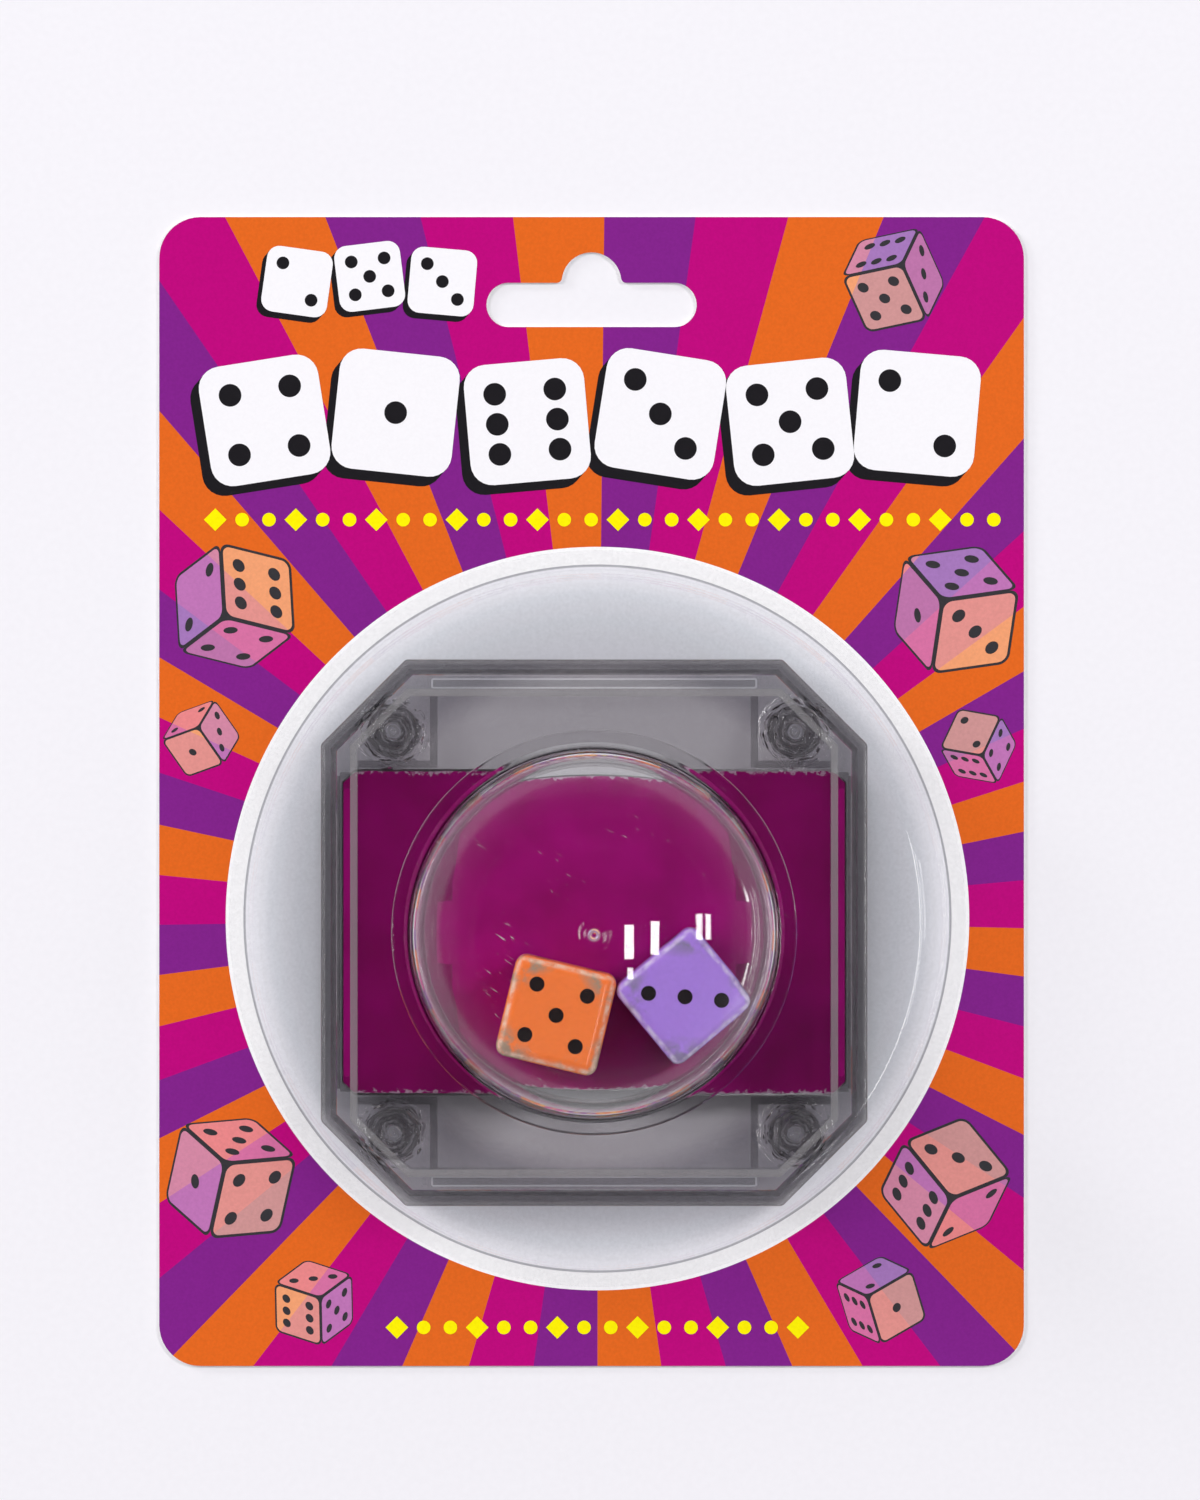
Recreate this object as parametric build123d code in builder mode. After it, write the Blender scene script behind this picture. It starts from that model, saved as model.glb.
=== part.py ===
from build123d import *
import math
import os

# A pop-up dice game in its retail pack. The pack lies on its back: the origin is the centre of the
# card's back face, +X is to the reader's right, +Y is towards the hang hole and +Z is out of the card.
# All sizes are in millimetres.

# Popper housing: a square with cut corners, seen from above
housing_side = 83.7
housing_corner_leg = 13.0
housing_corner_radius = 1.0
housing_height = 11.5
housing_rim_edge_radius = 0.4
skirt_wall = 1.5
rim_width = 0.7
rim_step_width = 0.8
rim_step_depth = 0.9
channel_slope_width = 0.9
channel_floor_width = 2.1
channel_depth = 3.0
channel_floor_wall = 1.2
rib_wall = 1.1
rib_below_rim = 0.4
rib_corner_inset = 3.3
panel_below_rim = 2.5
panel_wall = 1.4
side_slot_length = 44.2
side_slot_width = 0.95
end_slot_length = 50.0
end_slot_width = 1.6
slot_to_rib_gap = 0.05
slot_corner_radius = 0.4

# Corner pockets with their hollow bosses
pocket_reach = 12.2
pocket_wall = 1.1
pocket_depth = 4.1
pocket_floor_wall = 1.2
boss_radius = 4.0
boss_from_rib = 2.0
pin_radius = 1.45
pin_clearance = 0.05
pin_tip_below_boss = 0.5
pin_tip_chamfer = 0.3
post_radius = 3.0
post_height = 1.9
post_clearance = 0.3

# Popper base
base_floor_wall = 1.5
upstand_wall = 1.1
upstand_length = 48.0
upstand_clearance = 0.15
upstand_top_gap = 0.2
tongue_clearance = 0.3
tongue_below_channel = 0.4
wall_to_floor_gap = 0.2
shelf_wall = 1.2
shelf_reach = 5.15
shelf_side_gap = 0.7

# Snap plate: spring steel, bowed upwards, with its printed cover on top
plate_width = 50.1
plate_thickness = 0.35
plate_bow = 2.5
plate_end_gap = 0.35
plate_side_gap = 0.2
plate_corner_cut = 2.0
plate_seat_gap = 0.02
plate_to_flange_gap = 0.25
plate_to_rib_gap = 0.3
cover_thickness = 0.5
cover_edge_margin = 0.2

# Dome
dome_radius = 28.9
dome_wall = 1.3
dome_draft = 1.5
dome_wall_rise = 16.5
dome_blend_radius = 6.5
dome_hole_clearance = 0.3
dome_flange_width = 2.2
dome_flange_wall = 1.0
dome_flange_play = 0.1
dome_press_travel = 2.0
gate_radius = 0.9
gate_height = 0.2

# Press ring in the dome's foot, with two ledges over the plate's slopes
ring_wall = 0.65
ring_clearance = 0.05
ledge_width = 5.85
ledge_wall = 0.45
ledge_notch_width = 9.7
ledge_notch_depth = 3.2

# Dice
die_size = 15.7
die_edge_radius = 1.7
die_headroom = 11.8
die_seat_gap = 0.1
die_gap = 0.15
orange_bearing = 245.0
orange_turn = -13.5
orange_wall_gap = 4.2
purple_turn = 39.5
purple_wall_gap = 0.9

# Blister, seen from above a circle sealed to the card's face
blister_clearance = 1.3
blister_wall = 0.4
blister_draft = 3.0
blister_flange_width = 2.3
blister_top_gap = 1.0
blister_top_radius = 4.0
popper_shift_x = -0.5
popper_shift_y = -2.0

# Card
card_height = 177.1
card_thickness = 0.6
card_side_margin = 9.87
card_bottom_margin = 12.2
card_corner_radius = 6.35
blister_shift_x = 0.9
hang_slot_length = 32.4
hang_slot_width = 6.8
hang_slot_from_top = 13.55
hang_hump_radius = 4.6
hang_hump_rise = 3.5
hang_notch_radius = 0.8

# Levels of the popper, from the card up
base_floor_top = card_thickness + base_floor_wall
rim_top = base_floor_top + housing_height
channel_top = rim_top - channel_depth
channel_underside = channel_top - channel_floor_wall
panel_top = rim_top - panel_below_rim
panel_underside = panel_top - panel_wall
pocket_floor_top = panel_top - pocket_depth
pocket_floor_underside = pocket_floor_top - pocket_floor_wall
post_top = base_floor_top + post_height
flange_top = panel_underside - dome_flange_play
flange_bottom = flange_top - dome_flange_wall

# How far the popper's walls lie in from the housing's outline
slope_top_inset = rim_width + rim_step_width
slope_foot_inset = slope_top_inset + channel_slope_width
rib_outer_inset = slope_foot_inset + channel_floor_width
rib_inner_inset = rib_outer_inset + rib_wall
upstand_outer_inset = skirt_wall + upstand_clearance
upstand_inner_inset = upstand_outer_inset + upstand_wall

# Half sizes along X or Y, from the popper's axis
housing_half = housing_side / 2
rib_inner_half = housing_half - rib_inner_inset
upstand_inner_half = housing_half - upstand_inner_inset
plate_half_length = upstand_inner_half - plate_end_gap
plate_way_half = plate_width / 2 + plate_side_gap
dome_inner_radius = dome_radius - dome_wall
ring_radius = dome_inner_radius - ring_clearance
ledge_edge = ring_radius - ledge_width

# The plate is an arc over its length. Its cover stays plate_to_flange_gap under the dome's flange.
plate_arc_radius = (plate_half_length**2 + plate_bow**2) / (2 * plate_bow)
cover_arc_radius = plate_arc_radius + plate_thickness + cover_thickness
flange_contact_x = math.sqrt(max(0.0, dome_inner_radius**2 - (plate_width / 2) ** 2))
flange_contact_drop = cover_arc_radius - math.sqrt(cover_arc_radius**2 - flange_contact_x**2)
crown_top = flange_bottom - plate_to_flange_gap + flange_contact_drop
plate_arc_centre_z = crown_top - cover_arc_radius
plate_end_bottom = plate_arc_centre_z + math.sqrt(plate_arc_radius**2 - plate_half_length**2)
shelf_top = plate_end_bottom - plate_seat_gap
cover_at_rib = plate_arc_centre_z + math.sqrt(cover_arc_radius**2 - rib_inner_half**2)

# Dome's inside: drafted wall up to a shoulder, a blend and a flatter cap
shoulder_z = flange_top + dome_wall_rise
shoulder_radius = dome_inner_radius - dome_wall_rise * math.tan(math.radians(dome_draft))
blend_x = shoulder_radius - dome_blend_radius
dome_ceiling = crown_top + die_size + die_headroom
dome_top = dome_ceiling + dome_wall
cap_rise = dome_ceiling - shoulder_z
cap_radius = (blend_x**2 + cap_rise**2 - dome_blend_radius**2) / (2 * (cap_rise - dome_blend_radius))
cap_centre_z = dome_ceiling - cap_radius
blend_angle = math.atan2(blend_x, shoulder_z - cap_centre_z)
blend_top_z = shoulder_z + dome_blend_radius * math.cos(blend_angle)


# The dome's inner radius at a height above the card's back
def dome_room(z):
    if z <= shoulder_z:
        return dome_inner_radius - (z - flange_top) * math.tan(math.radians(dome_draft))
    if z <= blend_top_z:
        return blend_x + math.sqrt(dome_blend_radius**2 - (z - shoulder_z) ** 2)
    return math.sqrt(cap_radius**2 - (z - cap_centre_z) ** 2)


# A point given by its distance and bearing from the popper's axis
def polar(radius, degrees):
    return radius * math.cos(math.radians(degrees)), radius * math.sin(math.radians(degrees))


# Where a die's centre lies when its outermost corner is this far from the axis
def die_seat(bearing, turn, corner_distance):
    off_corner = math.radians((bearing - turn) % 90 - 45)
    aside = die_corner_reach * math.sin(off_corner)
    along = die_corner_reach * math.cos(off_corner)
    return polar(math.sqrt(corner_distance**2 - aside**2) - along, bearing)


# The dice lie clear of the plate, of the ledges and of the dome's wall, also when the dome is pressed
# down over them. The purple die is turned about the axis until its near corner only just clears the
# orange die's right face.
die_bottom = max(crown_top, flange_bottom) + die_seat_gap
die_core = die_size / 2 - die_edge_radius
die_corner_reach = die_core * math.sqrt(2) + die_edge_radius
pressed_room = dome_room(die_bottom + die_size - die_edge_radius + dome_press_travel)
orange_x, orange_y = die_seat(orange_bearing, orange_turn, pressed_room - orange_wall_gap)
face_x, face_y = polar(1, orange_turn)
near_corner_off = math.radians((orange_turn + 180 - purple_turn) % 90 - 45)
near_corner_reach = die_core * math.sqrt(2) * math.cos(near_corner_off) + die_edge_radius
dice_spacing = die_size / 2 + die_gap + near_corner_reach
for tenth_degrees in range(1800):
    purple_bearing = orange_bearing + tenth_degrees / 10
    purple_x, purple_y = die_seat(purple_bearing, purple_turn, pressed_room - purple_wall_gap)
    if (purple_x - orange_x) * face_x + (purple_y - orange_y) * face_y >= dice_spacing:
        break

# Blister and card around the popper
far_x = housing_half + abs(popper_shift_x)
far_y = housing_half + abs(popper_shift_y)
popper_reach = max(
    math.hypot(far_x - housing_corner_leg, far_y), math.hypot(far_x, far_y - housing_corner_leg)
)
blister_inner_radius = popper_reach + blister_clearance
blister_radius = blister_inner_radius + blister_wall
blister_flange_radius = blister_radius + blister_flange_width
blister_top = dome_top + blister_top_gap + blister_wall
card_width = 2 * (blister_flange_radius + card_side_margin)
blister_x = blister_shift_x
blister_y = card_bottom_margin + blister_flange_radius - card_height / 2
popper_x = blister_x + popper_shift_x
popper_y = blister_y + popper_shift_y
hang_slot_y = card_height / 2 - hang_slot_from_top
hang_slot_half = hang_slot_width / 2


# The horizontal plane at a height, with its origin on the popper's axis
def level(z):
    return Plane(origin=(popper_x, popper_y, z))


# The housing's outline drawn in by inset, and at the cut corners by corner_inset, as points around
# the popper's axis
def outline(inset, corner_inset):
    half = housing_half - inset
    short = housing_side - housing_corner_leg - corner_inset * math.sqrt(2) - half
    quarter = [(half, short), (short, half)]
    return [
        (x * math.cos(turn) - y * math.sin(turn), x * math.sin(turn) + y * math.cos(turn))
        for turn in (0, math.pi / 2, math.pi, -math.pi / 2)
        for x, y in quarter
    ]


rib_outside = outline(rib_outer_inset, rib_corner_inset)
rib_inside = outline(rib_inner_inset, rib_corner_inset + rib_wall)
boss_place = (rib_inside[0][0] + rib_inside[0][1]) / 2 - boss_from_rib / math.sqrt(2)
side_slot_centre = housing_half - rib_outer_inset + slot_to_rib_gap + side_slot_width / 2
end_slot_centre = housing_half - rib_outer_inset + slot_to_rib_gap + end_slot_width / 2

# Backing card
with BuildPart() as backing_card:
    with BuildSketch():
        RectangleRounded(card_width, card_height, card_corner_radius)
        with Locations((0, hang_slot_y)):
            SlotOverall(hang_slot_length, hang_slot_width, mode=Mode.SUBTRACT)
        with Locations((0, hang_slot_y + hang_hump_rise)):
            Circle(hang_hump_radius, mode=Mode.SUBTRACT)
        notch_x = math.sqrt(hang_hump_radius**2 - (hang_slot_half - hang_hump_rise) ** 2)
        notches = vertices().filter_by(
            lambda v: abs(v.Y - hang_slot_y - hang_slot_half) < 0.01 and abs(abs(v.X) - notch_x) < 0.01
        )
        fillet(notches, hang_notch_radius)
    extrude(amount=card_thickness)
backing_card.part.label = "backing_card"

# Popper base: floor, upstands behind the plate's ends, tongues in the end slots, hollow shelves for
# the plate's ends, and posts with pins
shelf_centre = upstand_inner_half - shelf_reach / 2
shelf_half_width = plate_way_half - shelf_side_gap
with BuildPart() as popper_base:
    with BuildSketch(level(card_thickness)):
        Polygon(*outline(0, 0), align=None)
        fillet(vertices(), housing_corner_radius)
    extrude(amount=base_floor_wall)
    with BuildSketch(level(base_floor_top)):
        with PolarLocations(upstand_inner_half + upstand_wall / 2, 2):
            Rectangle(upstand_wall, upstand_length)
    extrude(amount=channel_underside - upstand_top_gap - base_floor_top)
    with BuildSketch(level(base_floor_top)):
        with PolarLocations(end_slot_centre, 2, start_angle=90):
            Rectangle(end_slot_width - 2 * tongue_clearance, end_slot_length - 2 * tongue_clearance)
    extrude(amount=channel_top - tongue_below_channel - base_floor_top)
    with BuildSketch(level(base_floor_top)):
        with PolarLocations(shelf_centre, 2):
            Rectangle(shelf_reach, 2 * shelf_half_width)
    extrude(amount=shelf_top - base_floor_top)
    with BuildSketch(level(card_thickness)):
        with PolarLocations(shelf_centre, 2):
            Rectangle(shelf_reach - 2 * shelf_wall, 2 * (shelf_half_width - shelf_wall))
    extrude(amount=shelf_top - shelf_wall - card_thickness, mode=Mode.SUBTRACT)
    with BuildSketch(level(base_floor_top)):
        with GridLocations(2 * boss_place, 2 * boss_place, 2, 2):
            Circle(post_radius)
    extrude(amount=post_height)
    with BuildSketch(level(post_top)):
        with GridLocations(2 * boss_place, 2 * boss_place, 2, 2):
            Circle(pin_radius)
    extrude(amount=panel_top - pin_tip_below_boss - post_top)
    pin_tips = edges().filter_by(GeomType.CIRCLE).group_by(Axis.Z)[-1]
    chamfer(pin_tips, pin_tip_chamfer)
popper_base.part.label = "popper_base"

# Popper housing
with BuildPart() as popper_housing:
    # Outer block with a rounded rim
    with BuildSketch(level(base_floor_top)):
        Polygon(*outline(0, 0), align=None)
        fillet(vertices(), housing_corner_radius)
    extrude(amount=housing_height)
    fillet(faces().sort_by(Axis.Z)[-1].edges(), housing_rim_edge_radius)
    # Hollow under the channel and, further in, under the panel
    with BuildSketch(level(base_floor_top)):
        Polygon(*outline(skirt_wall, skirt_wall), align=None)
    extrude(amount=channel_underside - base_floor_top, mode=Mode.SUBTRACT)
    with BuildSketch(level(base_floor_top)):
        Polygon(*rib_inside, align=None)
    extrude(amount=panel_underside - base_floor_top, mode=Mode.SUBTRACT)
    # Recess inside the rim: a step, then sloped sides down to the channel's floor
    with BuildSketch(level(rim_top - rim_step_depth)):
        Polygon(*outline(rim_width, rim_width), align=None)
    extrude(amount=rim_step_depth, mode=Mode.SUBTRACT)
    with BuildSketch(level(channel_top)):
        Polygon(*outline(slope_foot_inset, slope_foot_inset), align=None)
    with BuildSketch(level(rim_top - rim_step_depth)):
        Polygon(*outline(slope_top_inset, slope_top_inset), align=None)
    loft(mode=Mode.SUBTRACT)
    # Rib around the panel, and the panel
    with BuildSketch(level(base_floor_top + wall_to_floor_gap)):
        Polygon(*rib_outside, align=None)
        Polygon(*rib_inside, align=None, mode=Mode.SUBTRACT)
    extrude(amount=rim_top - rib_below_rim - base_floor_top - wall_to_floor_gap)
    with BuildSketch(level(panel_underside)):
        Polygon(*rib_inside, align=None)
    extrude(amount=panel_wall)
    # Solid corners, then the pockets from above and the hollows from below
    with BuildSketch(level(base_floor_top + wall_to_floor_gap)):
        Polygon(*rib_inside, align=None)
        Rectangle(2 * housing_half, 2 * plate_way_half, mode=Mode.SUBTRACT)
        Rectangle(2 * (rib_inner_half - pocket_reach), 2 * housing_half, mode=Mode.SUBTRACT)
    extrude(amount=panel_top - base_floor_top - wall_to_floor_gap)
    with BuildSketch(level(pocket_floor_top)):
        Polygon(*rib_inside, align=None)
        Rectangle(2 * housing_half, 2 * (plate_way_half + pocket_wall), mode=Mode.SUBTRACT)
        Rectangle(2 * (rib_inner_half - pocket_reach + pocket_wall), 2 * housing_half, mode=Mode.SUBTRACT)
    extrude(amount=pocket_depth, mode=Mode.SUBTRACT)
    with BuildSketch(level(base_floor_top)):
        Polygon(*rib_inside, align=None)
        Rectangle(2 * housing_half, 2 * (plate_way_half + pocket_wall), mode=Mode.SUBTRACT)
        Rectangle(2 * (rib_inner_half - pocket_reach + pocket_wall), 2 * housing_half, mode=Mode.SUBTRACT)
    extrude(amount=pocket_floor_underside - base_floor_top, mode=Mode.SUBTRACT)
    # Bosses that stand on the base's posts
    with BuildSketch(level(post_top)):
        with GridLocations(2 * boss_place, 2 * boss_place, 2, 2):
            Circle(boss_radius)
    extrude(amount=panel_top - post_top)
    with BuildSketch(level(post_top)):
        with GridLocations(2 * boss_place, 2 * boss_place, 2, 2):
            Circle(pin_radius + pin_clearance)
    extrude(amount=panel_top - post_top, mode=Mode.SUBTRACT)
    with BuildSketch(level(base_floor_top)):
        with GridLocations(2 * boss_place, 2 * boss_place, 2, 2):
            Circle(post_radius + post_clearance)
    extrude(amount=post_height, mode=Mode.SUBTRACT)
    # Way for the plate under the side ribs, the dome's hole, and the slots outside the ribs
    with BuildSketch(level(base_floor_top)):
        Rectangle(2 * (housing_half - skirt_wall), 2 * plate_way_half)
    extrude(amount=cover_at_rib + plate_to_rib_gap - base_floor_top, mode=Mode.SUBTRACT)
    with BuildSketch(level(panel_underside)):
        Circle(dome_radius + dome_hole_clearance)
    extrude(amount=panel_wall, mode=Mode.SUBTRACT)
    with BuildSketch(level(channel_underside)):
        with PolarLocations(side_slot_centre, 2):
            RectangleRounded(side_slot_width, side_slot_length, slot_corner_radius)
        with PolarLocations(end_slot_centre, 2, start_angle=90):
            RectangleRounded(end_slot_width, end_slot_length, slot_corner_radius)
    extrude(amount=channel_floor_wall, mode=Mode.SUBTRACT)
popper_housing.part.label = "popper_housing"


# One bowed layer of the plate, over the popper's axis. Its lower face has the given arc radius.
def bowed_layer(arc_radius, thickness, half_length, width):
    low, high = arc_radius, arc_radius + thickness
    low_end = math.sqrt(low**2 - half_length**2)
    high_end = math.sqrt(high**2 - half_length**2)
    with BuildPart() as layer:
        with BuildSketch(Plane((popper_x, popper_y, plate_arc_centre_z), (1, 0, 0), (0, -1, 0))):
            with BuildLine():
                ThreePointArc((-half_length, low_end), (0, low), (half_length, low_end))
                Line((half_length, low_end), (half_length, high_end))
                ThreePointArc((half_length, high_end), (0, high), (-half_length, high_end))
                Line((-half_length, high_end), (-half_length, low_end))
            make_face()
        extrude(amount=width / 2, both=True)
        chamfer(edges().filter_by(Axis.Z), plate_corner_cut)
    return layer


snap_plate = bowed_layer(plate_arc_radius, plate_thickness, plate_half_length, plate_width)
snap_plate.part.label = "snap_plate"
plate_cover = bowed_layer(
    plate_arc_radius + plate_thickness,
    cover_thickness,
    plate_half_length - cover_edge_margin,
    plate_width - 2 * cover_edge_margin,
)
plate_cover.part.label = "plate_cover"


# Start, middle and end of the shoulder's blend, then middle and top of the cap, at a distance outside
# the dome's inner face
def dome_section(outside):
    def on_blend(angle):
        reach = dome_blend_radius + outside
        return blend_x + reach * math.sin(angle), shoulder_z + reach * math.cos(angle)

    def on_cap(angle):
        reach = cap_radius + outside
        return reach * math.sin(angle), cap_centre_z + reach * math.cos(angle)

    mid_blend = (blend_angle + math.pi / 2) / 2
    return on_blend(math.pi / 2), on_blend(mid_blend), on_blend(blend_angle), on_cap(blend_angle / 2), on_cap(0)


# Dome, turned about the popper's axis
with BuildPart() as dome:
    with BuildSketch(Plane((popper_x, popper_y, 0), (1, 0, 0), (0, -1, 0))):
        with BuildLine():
            inner = dome_section(0)
            outer = dome_section(dome_wall)
            ThreePointArc(*inner[:3])
            ThreePointArc(*inner[2:])
            Line(inner[4], outer[4])
            ThreePointArc(*outer[2:])
            ThreePointArc(*outer[:3])
            Polyline(
                outer[0],
                (dome_radius, flange_top),
                (dome_radius + dome_flange_width, flange_top),
                (dome_radius + dome_flange_width, flange_bottom),
                (dome_inner_radius, flange_bottom),
                (dome_inner_radius, flange_top),
                inner[0],
            )
        make_face()
    revolve(axis=Axis((popper_x, popper_y, 0), (0, 0, 1)))
    with BuildSketch(level(dome_top - gate_height)):
        Circle(gate_radius)
    extrude(amount=2 * gate_height)
dome.part.label = "dome"

# Press ring: a low wall inside the dome's foot, and below it two ledges with notched straight edges
with BuildPart() as press_ring:
    with BuildSketch(level(flange_bottom)):
        Circle(ring_radius)
        Circle(ring_radius - ring_wall, mode=Mode.SUBTRACT)
    extrude(amount=dome_flange_wall)
    with BuildSketch(level(flange_bottom - ledge_wall)):
        Circle(ring_radius)
        Rectangle(2 * ledge_edge, 2 * ring_radius, mode=Mode.SUBTRACT)
        Rectangle(2 * (ledge_edge + ledge_notch_depth), ledge_notch_width, mode=Mode.SUBTRACT)
    extrude(amount=ledge_wall)
press_ring.part.label = "press_ring"


# A die beside the popper's axis, turned about the vertical
def die(x, y, turn):
    with BuildPart(Plane((popper_x + x, popper_y + y, die_bottom)).rotated((0, 0, turn))) as cube:
        Box(die_size, die_size, die_size, align=(Align.CENTER, Align.CENTER, Align.MIN))
        fillet(edges(), die_edge_radius)
    return cube


die_orange = die(orange_x, orange_y, orange_turn)
die_orange.part.label = "die_orange"
die_purple = die(purple_x, purple_y, purple_turn)
die_purple.part.label = "die_purple"

# Blister: a cup with drafted wall and rounded edge, and its flange on the card's face
wall_lean = (blister_top - card_thickness) * math.tan(math.radians(blister_draft))
with BuildPart() as blister_shell:
    with BuildSketch(Plane((blister_x, blister_y, card_thickness), (1, 0, 0), (0, -1, 0))):
        cup_height = blister_top - card_thickness
        Polygon(
            (0, 0), (blister_radius, 0), (blister_radius - wall_lean, cup_height), (0, cup_height), align=None
        )
    revolve(axis=Axis((blister_x, blister_y, 0), (0, 0, 1)))
    fillet(faces().sort_by(Axis.Z)[-1].edges(), blister_top_radius)
    offset(amount=-blister_wall, openings=faces().sort_by(Axis.Z)[0])
    with BuildSketch(Plane((blister_x, blister_y, card_thickness))):
        Circle(blister_flange_radius)
        Circle(blister_inner_radius, mode=Mode.SUBTRACT)
    extrude(amount=blister_wall)
blister_shell.part.label = "blister_shell"


# How far straight up a die can rise under the pressed dome with this much air left
def hop_room(x, y, turn, air):
    corners = [polar(die_core * math.sqrt(2), turn + quarter) for quarter in range(45, 360, 90)]
    reach = max(math.hypot(x + dx, y + dy) for dx, dy in corners)
    lift = 0.0
    while lift < die_headroom:
        core_top = die_bottom + die_size - die_edge_radius + dome_press_travel + lift
        ball_radius = die_edge_radius + air
        for lean in range(0, 91, 5):
            z = core_top + ball_radius * math.sin(math.radians(lean))
            if z > dome_ceiling or reach + ball_radius * math.cos(math.radians(lean)) > dome_room(z):
                return lift
        lift += 0.05
    return lift


print("card", round(card_width, 2), round(card_height, 2), "blister at", blister_x, round(blister_y, 3))
print("popper at", round(popper_x, 3), round(popper_y, 3), "rim top", rim_top, "dome top", round(dome_top, 3))
print("crown", round(crown_top, 3), "shelf", round(shelf_top, 3), "flange", flange_bottom, flange_top)
print("orange at", round(orange_x, 2), round(orange_y, 2), "hop", hop_room(orange_x, orange_y, orange_turn, 0.3))
print("purple at", round(purple_x, 2), round(purple_y, 2), "hop", hop_room(purple_x, purple_y, purple_turn, 0.3))
print("cap radius", round(cap_radius, 2), "boss at", round(boss_place, 2), "blister top", round(blister_top, 2))

os.makedirs("parts", exist_ok=True)
pieces = (
    backing_card,
    blister_shell,
    popper_base,
    popper_housing,
    snap_plate,
    plate_cover,
    dome,
    press_ring,
    die_orange,
    die_purple,
)
for piece in pieces:
    export_step(piece.part, f"parts/{piece.part.label}.step")
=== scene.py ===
import math

import bmesh
import bpy
from mathutils import Matrix, Vector, noise


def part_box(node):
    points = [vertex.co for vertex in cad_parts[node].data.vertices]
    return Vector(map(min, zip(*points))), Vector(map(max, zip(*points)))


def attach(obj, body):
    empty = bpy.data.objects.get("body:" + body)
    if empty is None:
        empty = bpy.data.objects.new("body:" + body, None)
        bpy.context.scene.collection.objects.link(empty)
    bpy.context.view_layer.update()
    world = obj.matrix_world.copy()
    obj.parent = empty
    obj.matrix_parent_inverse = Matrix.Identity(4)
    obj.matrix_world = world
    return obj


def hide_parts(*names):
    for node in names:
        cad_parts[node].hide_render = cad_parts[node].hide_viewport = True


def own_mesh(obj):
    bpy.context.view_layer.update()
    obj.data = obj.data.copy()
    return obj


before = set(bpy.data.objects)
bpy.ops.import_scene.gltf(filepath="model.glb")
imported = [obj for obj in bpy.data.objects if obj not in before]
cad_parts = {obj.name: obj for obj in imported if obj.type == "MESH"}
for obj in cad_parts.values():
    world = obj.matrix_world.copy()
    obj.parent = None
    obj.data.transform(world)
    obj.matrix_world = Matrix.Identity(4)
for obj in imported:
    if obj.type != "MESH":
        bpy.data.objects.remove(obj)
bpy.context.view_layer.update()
mm = 0.001


def middle(node):
    low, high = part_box(node)
    return Vector([(a + b) / 2 for a, b in zip(low, high)])


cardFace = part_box("backing_card")[1][2]
blister = middle("blister_shell")
popper = middle("popper_housing")
blisterFoot = (blister.x, blister.y, 0)
popperFoot = (popper.x, popper.y, 0)
print("frame loaded, popper axis at", round(popper.x / mm, 2), round(popper.y / mm, 2))


# Colours are written as sRGB hex, shaders want linear light
def linear(hexCode):
    channels = [int(hexCode[i:i + 2], 16) / 255 for i in (0, 2, 4)]
    return [c / 12.92 if c <= 0.04045 else ((c + 0.055) / 1.055) ** 2.4 for c in channels] + [1.0]


# Adds a node, sets its options, and fills or links its inputs by name or number. The stops of a colour
# ramp are (place, hex).
def add(tree, kind, inputs=None, stops=None, **options):
    node = tree.nodes.new("ShaderNode" + kind)
    for name, value in options.items():
        setattr(node, name, value)
    for name, value in (inputs or {}).items():
        socket = node.inputs[name]
        if isinstance(value, bpy.types.NodeSocket):
            tree.links.new(value, socket)
        else:
            socket.default_value = value[:3] if socket.type == "VECTOR" else value
    if stops:
        while len(node.color_ramp.elements) < len(stops):
            node.color_ramp.elements.new(0.5)
        for element, (place, hexCode) in zip(node.color_ramp.elements, stops):
            element.position = place
            element.color = linear(hexCode)
    return node


def newMaterial(name):
    material = bpy.data.materials.new(name)
    material.use_nodes = True
    material.node_tree.nodes.clear()
    return material, material.node_tree


def finishMaterial(material, shader, volume=None):
    ends = {"Surface": shader}
    if volume:
        ends["Volume"] = volume
    add(material.node_tree, "OutputMaterial", ends)
    return material


# Gives a CAD node that stays its own material
def dress(node, material):
    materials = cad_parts[node].data.materials
    materials.clear()
    materials.append(material)


# Object coordinates in millimetres from a point of the frame
def pointInMm(tree, origin):
    coords = add(tree, "TexCoord").outputs["Object"]
    moved = add(tree, "VectorMath", {0: coords, 1: Vector(origin)}, operation="SUBTRACT").outputs[0]
    return add(tree, "VectorMath", {0: moved, "Scale": 1 / mm}, operation="SCALE").outputs[0]


# How far a point lies from the upright axis through its origin
def fromAxis(tree, point):
    flat = add(tree, "VectorMath", {0: point, 1: (1, 1, 0)}, operation="MULTIPLY").outputs[0]
    return add(tree, "VectorMath", {0: flat}, operation="LENGTH").outputs["Value"]


# Makes an object from a bmesh, in the frame's own place. With an angle in degrees it is shaded smooth, and
# edges sharper than that stay sharp.
def pieceFrom(name, bm, material, body, sharp=None):
    mesh = bpy.data.meshes.new(name)
    bm.to_mesh(mesh)
    bm.free()
    for polygon in mesh.polygons:
        polygon.use_smooth = sharp is not None
    if sharp is not None:
        mesh.set_sharp_from_angle(angle=math.radians(sharp))
    piece = bpy.data.objects.new(name, mesh)
    bpy.context.collection.objects.link(piece)
    for each in material if isinstance(material, list) else [material]:
        mesh.materials.append(each)
    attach(piece, body)
    return piece


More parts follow.
